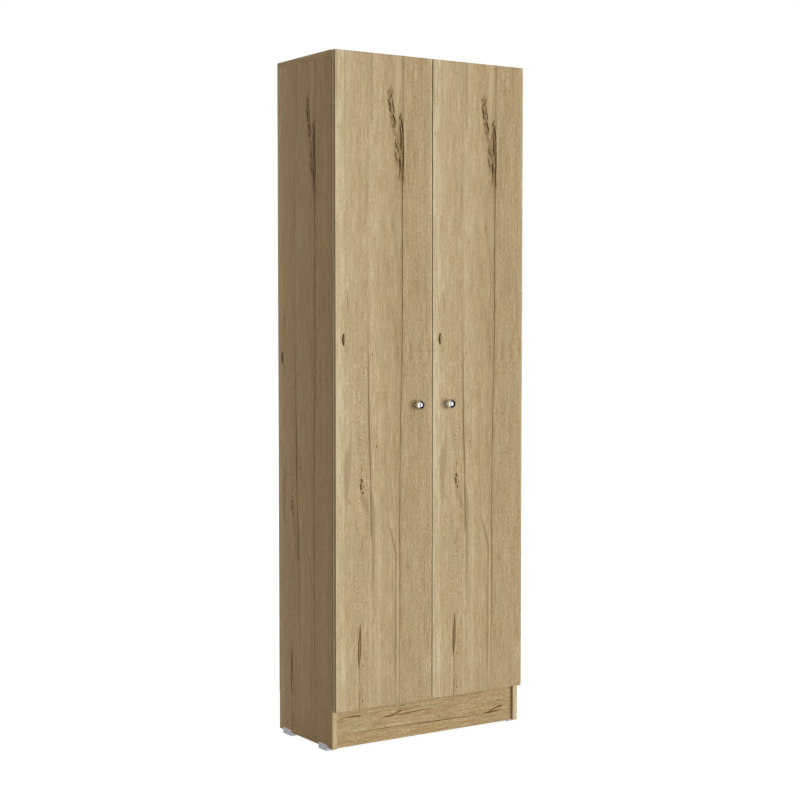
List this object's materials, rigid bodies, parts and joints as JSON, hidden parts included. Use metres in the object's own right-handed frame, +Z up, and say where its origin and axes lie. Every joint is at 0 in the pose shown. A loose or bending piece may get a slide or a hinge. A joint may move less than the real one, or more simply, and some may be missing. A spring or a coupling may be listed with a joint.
{
  "type": "linen cabinet",
  "caption": "Tall narrow linen cabinet of printed wood-grain board with two hinged doors, ball knobs, inner shelves, a recessed plinth and nail-on glides.",
  "frame": {"origin": "on the floor under the middle of the whole object, knobs included, at the height of the glides' soles", "axes": "+Z up, the doors face -Y and the back faces +Y, +X to the right as seen from the front"},
  "size_m": [0.604, 0.33, 1.809],
  "materials": {
    "printed_board": "satin oak print on chipboard",
    "hardboard": "bare thin hardboard",
    "pale_plastic": "moulded, satin",
    "grey_plastic": "moulded, fine texture",
    "chromed_metal": "mirror chrome",
    "plated_steel": "nickel plated"
  },
  "bodies": {
    "carcass": {"left_side_panel": "printed_board", "right_side_panel": "printed_board", "top_panel": "printed_board", "bottom_panel": "printed_board", "plinth_board": "printed_board", "lower_adjustable_shelf": "printed_board", "lower_fixed_shelf": "printed_board", "upper_adjustable_shelf": "printed_board", "upper_fixed_shelf": "printed_board", "left_back_panel": "hardboard", "right_back_panel": "hardboard", "back_joining_strip": "pale_plastic", "front_left_foot": "grey_plastic", "front_right_foot": "grey_plastic", "rear_left_foot": "grey_plastic", "rear_right_foot": "grey_plastic", "left_magnetic_catch": "pale_plastic", "right_magnetic_catch": "pale_plastic", "lower_front_left_shelf_pin": "plated_steel", "lower_front_right_shelf_pin": "plated_steel", "lower_rear_left_shelf_pin": "plated_steel", "lower_rear_right_shelf_pin": "plated_steel", "upper_front_left_shelf_pin": "plated_steel", "upper_front_right_shelf_pin": "plated_steel", "upper_rear_left_shelf_pin": "plated_steel", "upper_rear_right_shelf_pin": "plated_steel", "left_lower_hinge_arm": "plated_steel", "left_middle_hinge_arm": "plated_steel", "left_upper_hinge_arm": "plated_steel", "right_lower_hinge_arm": "plated_steel", "right_middle_hinge_arm": "plated_steel", "right_upper_hinge_arm": "plated_steel", "left_lower_hinge_plate": "plated_steel", "left_middle_hinge_plate": "plated_steel", "left_upper_hinge_plate": "plated_steel", "right_lower_hinge_plate": "plated_steel", "right_middle_hinge_plate": "plated_steel", "right_upper_hinge_plate": "plated_steel"},
    "left_door": {"left_door": "printed_board", "left_knob": "chromed_metal", "left_knob_screw": "plated_steel", "left_strike_plate": "plated_steel", "left_lower_hinge_cup": "plated_steel", "left_middle_hinge_cup": "plated_steel", "left_upper_hinge_cup": "plated_steel", "left_lower_hinge_pin": "plated_steel", "left_middle_hinge_pin": "plated_steel", "left_upper_hinge_pin": "plated_steel"},
    "right_door": {"right_door": "printed_board", "right_knob": "chromed_metal", "right_knob_screw": "plated_steel", "right_strike_plate": "plated_steel", "right_lower_hinge_cup": "plated_steel", "right_middle_hinge_cup": "plated_steel", "right_upper_hinge_cup": "plated_steel", "right_lower_hinge_pin": "plated_steel", "right_middle_hinge_pin": "plated_steel", "right_upper_hinge_pin": "plated_steel"}
  },
  "joints": [
    {"name": "left_door_swing", "type": "hinge", "parent": "carcass", "child": "left_door", "pos_m": [-0.29228, -0.12928, 0.9585], "axis": [0, 0, -1], "range_deg": [0, 100]},
    {"name": "right_door_swing", "type": "hinge", "parent": "carcass", "child": "right_door", "pos_m": [0.29228, -0.12928, 0.9585], "axis": [0, 0, 1], "range_deg": [0, 100]}
  ]
}
